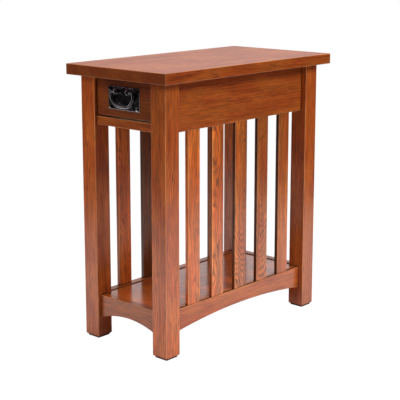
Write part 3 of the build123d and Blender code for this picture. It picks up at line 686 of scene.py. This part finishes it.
# Backplate: sheet iron with overlapping hammer marks and a rolled rim
plateSizes = {
    "columns": 116,
    "rows": 64,
    "rim": 2.4 * mm,
    "rimDrop": 1.5 * mm,
    "rimCurve": 2.2,
    "rimHighlight": (0.2, 0.8),      # how far in from the edge, as a share of the rim, the painted highlight starts to end
    "rimHighlightHeight": 24 * mm,      # above the plate's middle, where the rim's painted highlight has faded out
    "dentSpacing": 6 * mm,
    "dentDepth": 0.5 * mm,
    "dentReach": 0.6,           # how far a mark's bowl reaches, as a share of the spacing
    "dentBlend": 0.4,
    "ridges": (0.45, 0.75),     # how far from its middle a mark's ridge starts and is full
    "ridgeWear": 0.25,
    "seed": 4.0,
    "weld": 0.01 * mm,
}


def makePlateTree(form):
    tree, given = emptyGroup("hammeredPlate", "GeometryNodeTree", {
        "Width": 0.09, "Height": 0.05, "Thickness": 0.002, "Rim": 0.002, "Rim Drop": 0.001,
        "Dent Spacing": 0.006, "Dent Depth": 0.0005, "Seed": 0.0, "Back Middle": "Vector",
        "Iron": "Material"}, {"Geometry": "Geometry"})
    grid = addNode(tree, "GeometryNodeMeshGrid", {
        "Size X": (given, "Width"), "Size Y": (given, "Height"), "Vertices X": form["columns"],
        "Vertices Y": form["rows"]})
    lift = addNode(tree, "ShaderNodeCombineXYZ", {2: (given, "Thickness")})
    raised = addNode(tree, "GeometryNodeExtrudeMesh", {
        "Mesh": grid, "Offset": lift, "Offset Scale": 1.0, "Individual": False}, mode="FACES")
    position = addNode(tree, "GeometryNodeInputPosition")
    at = addNode(tree, "ShaderNodeSeparateXYZ", {0: position})
    # Distance in from the nearest edge, as a share of the rim
    insets = []
    for axis, size in ((0, "Width"), (1, "Height")):
        away = addNode(tree, "ShaderNodeMath", {0: (at, axis)}, operation="ABSOLUTE")
        reach = addNode(tree, "ShaderNodeMath", {0: (given, size), 1: 0.5}, operation="MULTIPLY")
        insets.append(addNode(tree, "ShaderNodeMath", {0: reach, 1: away}, operation="SUBTRACT"))
    inset = addNode(tree, "ShaderNodeMath", {0: insets[0], 1: insets[1]}, operation="MINIMUM")
    share = addNode(tree, "ShaderNodeMath", {0: inset, 1: (given, "Rim")}, operation="DIVIDE",
                    use_clamp=True)
    rest = addNode(tree, "ShaderNodeMath", {0: 1.0, 1: share}, operation="SUBTRACT")
    curve = addNode(tree, "ShaderNodeMath", {0: rest, 1: form["rimCurve"]}, operation="POWER")
    drop = addNode(tree, "ShaderNodeMath", {0: curve, 1: (given, "Rim Drop")}, operation="MULTIPLY")
    perDent = addNode(tree, "ShaderNodeMath", {0: 1.0, 1: (given, "Dent Spacing")}, operation="DIVIDE")
    seeded = addNode(tree, "ShaderNodeVectorMath", {0: position, 1: (given, "Seed")}, operation="ADD")
    marks = addNode(tree, "ShaderNodeTexVoronoi", {
        "Vector": seeded, "Scale": perDent, "Smoothness": form["dentBlend"]}, feature="SMOOTH_F1")
    # A hammer mark is deep in its middle and rises to ridges between marks
    bowl = addNode(tree, "ShaderNodeMath", {0: form["dentReach"], 1: marks}, operation="SUBTRACT",
                   use_clamp=True)
    inward = addNode(tree, "ShaderNodeMath", {0: bowl, 1: share}, operation="MULTIPLY")
    dent = addNode(tree, "ShaderNodeMath", {0: inward, 1: (given, "Dent Depth")}, operation="MULTIPLY")
    lowered = addNode(tree, "ShaderNodeMath", {0: drop, 1: dent}, operation="ADD")
    down = addNode(tree, "ShaderNodeMath", {0: lowered, 1: -1.0}, operation="MULTIPLY")
    moved = addNode(tree, "ShaderNodeCombineXYZ", {2: down})
    halfway = addNode(tree, "ShaderNodeMath", {0: (given, "Thickness"), 1: 0.5}, operation="MULTIPLY")
    isFront = addNode(tree, "ShaderNodeMath", {0: (at, 2), 1: halfway}, operation="GREATER_THAN")
    shaped = addNode(tree, "GeometryNodeSetPosition", {
        "Geometry": (raised, "Mesh"), "Selection": isFront, "Offset": moved})
    # The rim is painted bright as a highlight, less so along the top, under the table's edge, and the ridges
    # between marks are rubbed bright
    ridge = addNode(tree, "ShaderNodeMapRange", {
        "Value": marks, "From Min": form["ridges"][0], "From Max": form["ridges"][1],
        "To Max": form["ridgeWear"]})
    rimHighlight = addNode(tree, "ShaderNodeMapRange", {
        "Value": share, "From Min": form["rimHighlight"][0], "From Max": form["rimHighlight"][1], "To Min": 1.0,
        "To Max": 0.0})
    fade = addNode(tree, "ShaderNodeMapRange", {
        "Value": (at, 1), "From Max": form["rimHighlightHeight"], "To Min": 1.0, "To Max": 0.0})
    rimLit = addNode(tree, "ShaderNodeMath", {0: rimHighlight, 1: fade}, operation="MULTIPLY")
    wearAndHighlight = addNode(tree, "ShaderNodeMath", {0: ridge, 1: rimLit}, operation="MAXIMUM")
    stored = addNode(tree, "GeometryNodeStoreNamedAttribute", {
        "Geometry": shaped, "Name": "wornAndHighlit", "Value": wearAndHighlight}, data_type="FLOAT", domain="POINT")
    back = addNode(tree, "GeometryNodeFlipFaces", {"Mesh": grid})
    joined = addNode(tree, "GeometryNodeJoinGeometry")
    for part in (stored, back):
        tree.links.new(part.outputs[0], joined.inputs[0])
    merged = addNode(tree, "GeometryNodeMergeByDistance", {"Geometry": joined, "Distance": form["weld"]})
    stood = addNode(tree, "GeometryNodeTransform", {
        "Geometry": merged, "Translation": (given, "Back Middle"), "Rotation": (math.pi / 2, 0, 0)})
    smooth = addNode(tree, "GeometryNodeSetShadeSmooth", {"Geometry": stood})
    endTree(tree, smooth, (given, "Iron"))
    return tree


def makePlate(form):
    low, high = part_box("pull_plate")
    plate = runTree(makePlateTree(form), "pullBackplate", {
        "Width": high.x - low.x, "Height": high.z - low.z, "Thickness": high.y - low.y,
        "Rim": form["rim"], "Rim Drop": form["rimDrop"], "Dent Spacing": form["dentSpacing"],
        "Dent Depth": form["dentDepth"], "Seed": form["seed"],
        "Back Middle": ((low.x + high.x) / 2, high.y, (low.z + high.z) / 2),
        "Iron": blackenedIron("hammeredBlackIron", ironFinish)})
    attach(plate, "drawer")
    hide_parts("pull_plate")
    print("backplate:", len(plate.data.polygons), "faces")


# Bail: a round bar bent to a broad U, turning on two pins in the posts
bailSizes = {
    "bar": 6.5 * mm,
    "barSteps": 20,
    "topBend": 6 * mm,
    "corner": 25 * mm,
    "bendSteps": 12,
    "pin": 4.2 * mm,
    "pinSteps": 16,
    "pinLength": 2.5 * mm,      # from the bar's end to the bottom of the blind eye, less the play there
    "pinRoot": 0.2 * mm,        # how far it starts inside the bar
    "play": 0.3 * mm,
}


def makeBailTree(size):
    tree, given = emptyGroup("bentBar", "GeometryNodeTree", {
        "Geometry": "Geometry", "Bar": 0.006, "Iron": "Material"}, {"Geometry": "Geometry"})
    # Each point's radius says how wide the bar bends there
    bend = addNode(tree, "GeometryNodeInputRadius")
    bent = addNode(tree, "GeometryNodeFilletCurve", {
        "Curve": (given, "Geometry"), "Count": size["bendSteps"], "Radius": bend}, mode="POLY")
    even = addNode(tree, "GeometryNodeSetCurveRadius", {"Curve": bent, "Radius": 1.0})
    half = addNode(tree, "ShaderNodeMath", {0: (given, "Bar"), 1: 0.5}, operation="MULTIPLY")
    section = addNode(tree, "GeometryNodeCurvePrimitiveCircle", {
        "Resolution": size["barSteps"], "Radius": half})
    swept = addNode(tree, "GeometryNodeCurveToMesh", {"Curve": even, "Profile Curve": section,
                                                      "Fill Caps": True})
    smooth = addNode(tree, "GeometryNodeSetShadeSmooth", {"Geometry": swept})
    endTree(tree, smooth, (given, "Iron"))
    return tree


def makeBail(size):
    low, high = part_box("bail")
    bar = size["bar"]
    reach, y = high.x - bar / 2, (low.y + high.y) / 2
    top, bottom = high.z - bar / 2, low.z + bar / 2
    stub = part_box("pull_post_right")[1].x + size["play"]
    corners = ((-stub, top, 0), (-reach, top, size["topBend"]), (-reach, bottom, size["corner"]),
               (reach, bottom, size["corner"]), (reach, top, size["topBend"]), (stub, top, 0))
    path = bpy.data.curves.new("bailPath", "CURVE")
    path.dimensions = "3D"
    spline = path.splines.new("POLY")
    spline.points.add(len(corners) - 1)
    for point, (x, z, bend) in zip(spline.points, corners):
        point.co = (x, y, z, 1)
        point.radius = bend
    bail = runTree(makeBailTree(size), "bailHandle", {"Bar": bar, "Iron": highlitIron}, path)
    # The pins at its ends
    shape = bmesh.new()
    shape.from_mesh(bail.data)
    tip, root = stub - size["pinLength"], stub + size["pinRoot"]
    radius = size["pin"] / 2
    for side in (-1, 1):
        middle = Matrix.Translation((side * (tip + root) / 2, y, top))
        bmesh.ops.create_cone(shape, cap_ends=True, segments=size["pinSteps"], radius1=radius,
                              radius2=radius, depth=root - tip,
                              matrix=middle @ Matrix.Rotation(math.pi / 2, 4, "Y"))
    bmesh.ops.recalc_face_normals(shape, faces=shape.faces)
    shape.to_mesh(bail.data)
    shape.free()
    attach(bail, "bail")
    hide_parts("bail")
    print("bail:", len(bail.data.polygons), "faces")


makePlate(plateSizes)
makeBail(bailSizes)

# Small parts out of sight: zinc-plated screws with a faint spangle, and dark felt under the feet.
# Colour, roughness, metallic, and the width and depth of a grain.
smallFinishes = {
    "zincPlatedSteel": ("#B8BAC0", 0.35, 1.0, 1.0 * mm, 0.02 * mm),
    "pressedFelt": ("#33221C", 0.9, 0.0, 0.8 * mm, 0.2 * mm),
}
smallParts = {"zincPlatedSteel": ("pull_screws", "top_screws"), "pressedFelt": ("foot_pad",)}
grainDetail = 3.0
grainTones = (0.75, 1.2)


def grainyFinish(name, colour, roughness, metallic, grainSize, grainDepth):
    material, tree = emptyMaterial(name)
    coordinates = addNode(tree, "ShaderNodeTexCoord")
    grains = addNode(tree, "ShaderNodeTexNoise", {
        "Vector": (coordinates, "Object"), "Scale": 1 / grainSize, "Detail": grainDetail})
    varied = addNode(tree, "ShaderNodeMapRange", {
        "Value": grains, "To Min": grainTones[0], "To Max": grainTones[1]})
    tinted = addNode(tree, "ShaderNodeHueSaturation", {"Value": varied, "Color": hexColour(colour)})
    bump = addNode(tree, "ShaderNodeBump", {"Height": grains, "Distance": grainDepth})
    shader = addNode(tree, "ShaderNodeBsdfPrincipled", {
        "Base Color": tinted, "Roughness": roughness, "Metallic": metallic, "Normal": bump})
    addNode(tree, "ShaderNodeOutputMaterial", {"Surface": shader})
    return material


for finish, settings in smallFinishes.items():
    material = grainyFinish(finish, *settings)
    for name in nodes:
        if name.startswith(smallParts[finish]):
            paint(name, material)
print("materials:", len(bpy.data.materials))

# Stage: a round sheet of white paper in a white surround
stageSizes = {
    "floorRadius": 1.3,
    "floorSides": 96,
    "floorWhite": "#F0EEEC",
    "shownWhite": 0.95,         # how much of the paper the camera sees as plain white, and how bright
    "whiteStrength": 1.05,
    "backGloss": 0.3,           # how bright polished faces see the paper sweep behind the table, low down
    "highGloss": 1.0,           # and higher up, where it is lit most
    "sweepRise": (0.14, 0.28),  # between these heights
    "frontGloss": 0.03,         # and the dim studio on the camera's side
    "behind": (-0.45, 0.89, 0.0),   # the way to the middle of the sweep
    "sweepEdge": (0.7, 0.96),   # how squarely behind the table it starts and is full
    "sideGloss": 0.9,           # white cards at both sides, which put bright lines on rounded edges
    "cardEdge": (0.86, 0.93),
}


def makeFloor(size):
    bpy.ops.mesh.primitive_circle_add(vertices=size["floorSides"], radius=size["floorRadius"],
                                      fill_type="NGON")
    floor = bpy.context.object
    floor.name = "floor"
    material, tree = emptyMaterial("paperFloor")
    path = addNode(tree, "ShaderNodeLightPath")
    paper = addNode(tree, "ShaderNodeBsdfDiffuse", {"Color": hexColour(size["floorWhite"])})
    white = addNode(tree, "ShaderNodeEmission", {"Strength": size["whiteStrength"]})
    share = addNode(tree, "ShaderNodeMath", {0: (path, "Is Camera Ray"), 1: size["shownWhite"]},
                    operation="MULTIPLY")
    shown = addNode(tree, "ShaderNodeMixShader", {0: share, 1: paper, 2: white})
    addNode(tree, "ShaderNodeOutputMaterial", {"Surface": shown})
    floor.data.materials.append(material)


def makeWorld(size):
    # White for the camera, and for gloss white behind the table and dim on the camera's side
    world = bpy.data.worlds.new("studio")
    bpy.context.scene.world = world
    world.use_nodes = True
    tree = world.node_tree
    tree.nodes.clear()
    path = addNode(tree, "ShaderNodeLightPath")
    coordinates = addNode(tree, "ShaderNodeTexCoord")
    towards = addNode(tree, "ShaderNodeVectorMath", {0: (coordinates, "Generated"), 1: size["behind"]},
                      operation="DOT_PRODUCT")
    direction = addNode(tree, "ShaderNodeSeparateXYZ", {0: (coordinates, "Generated")})
    lit = addNode(tree, "ShaderNodeMapRange", {
        "Value": (direction, 2), "From Min": size["sweepRise"][0], "From Max": size["sweepRise"][1],
        "To Min": size["backGloss"], "To Max": size["highGloss"]})
    sweep = addNode(tree, "ShaderNodeMapRange", {
        "Value": (towards, "Value"), "From Min": size["sweepEdge"][0], "From Max": size["sweepEdge"][1],
        "To Min": size["frontGloss"], "To Max": lit})
    sideways = addNode(tree, "ShaderNodeMath", {0: (direction, 0)}, operation="ABSOLUTE")
    cards = addNode(tree, "ShaderNodeMapRange", {
        "Value": sideways, "From Min": size["cardEdge"][0], "From Max": size["cardEdge"][1],
        "To Max": size["sideGloss"]})
    around = addNode(tree, "ShaderNodeMath", {0: sweep, 1: cards}, operation="MAXIMUM")
    seen = addNode(tree, "ShaderNodeMath", {0: (path, "Is Glossy Ray"), 1: (path, "Is Transmission Ray")},
                   operation="MAXIMUM")
    mirrored = addNode(tree, "ShaderNodeMath", {0: seen, 1: around}, operation="MULTIPLY")
    strength = addNode(tree, "ShaderNodeMath", {0: (path, "Is Camera Ray"), 1: mirrored},
                       operation="MAXIMUM")
    background = addNode(tree, "ShaderNodeBackground", {"Color": (1, 1, 1, 1), "Strength": strength})
    addNode(tree, "ShaderNodeOutputWorld", {"Surface": background})


# Azimuth 0 stands in front of the drawer and 90 faces the right side; then elevation, distance, width,
# height and watts. The lacquer doesn't mirror the ones overhead and behind, so that the top and the back
# keep their colour.
softLights = {
    "rightKey": (100, 38, 2.6, 1.0, 0.8, 45, True),
    "cameraFill": (25, 45, 2.8, 1.4, 1.2, 5, True),
    "leftFill": (-28, 35, 2.6, 1.4, 1.2, 23, True),
    "overhead": (90, 88, 2.2, 1.8, 1.4, 54, False),
    "backFill": (215, 40, 2.6, 1.2, 1.0, 12, False),
}
lightAim = Vector((0, 0, 0.32))     # half way up the table


def addSoftLight(name, azimuth, elevation, distance, width, height, power, mirrored):
    data = bpy.data.lights.new(name, "AREA")
    data.shape, data.size, data.size_y, data.energy = "RECTANGLE", width, height, power
    light = bpy.data.objects.new(name, data)
    a, e = math.radians(azimuth), math.radians(elevation)
    away = Vector((math.sin(a) * math.cos(e), -math.cos(a) * math.cos(e), math.sin(e)))
    light.location = lightAim + away * distance
    light.rotation_mode = "QUATERNION"
    light.rotation_quaternion = away.to_track_quat("Z", "Y")
    light.visible_glossy = mirrored
    bpy.context.scene.collection.objects.link(light)


makeFloor(stageSizes)
makeWorld(stageSizes)
for name, settings in softLights.items():
    addSoftLight(name, *settings)

cameraSetup = {
    "location": (1.6301, -1.8325, 0.8574),
    "azimuth": 41.86,
    "tilt": -11.27,
    "lens": 98.87,
    "sensor": 36,
    "shift": -0.09,
}


def makeCamera(setup):
    data = bpy.data.cameras.new("camera")
    data.sensor_width = setup["sensor"]
    data.lens = setup["lens"]
    data.shift_y = setup["shift"]
    camera = bpy.data.objects.new("camera", data)
    camera.location = setup["location"]
    camera.rotation_euler = (math.radians(90 + setup["tilt"]), 0, math.radians(setup["azimuth"]))
    bpy.context.scene.collection.objects.link(camera)
    bpy.context.scene.camera = camera


makeCamera(cameraSetup)
bpy.context.scene.view_settings.view_transform = "Standard"
print("stage and camera")
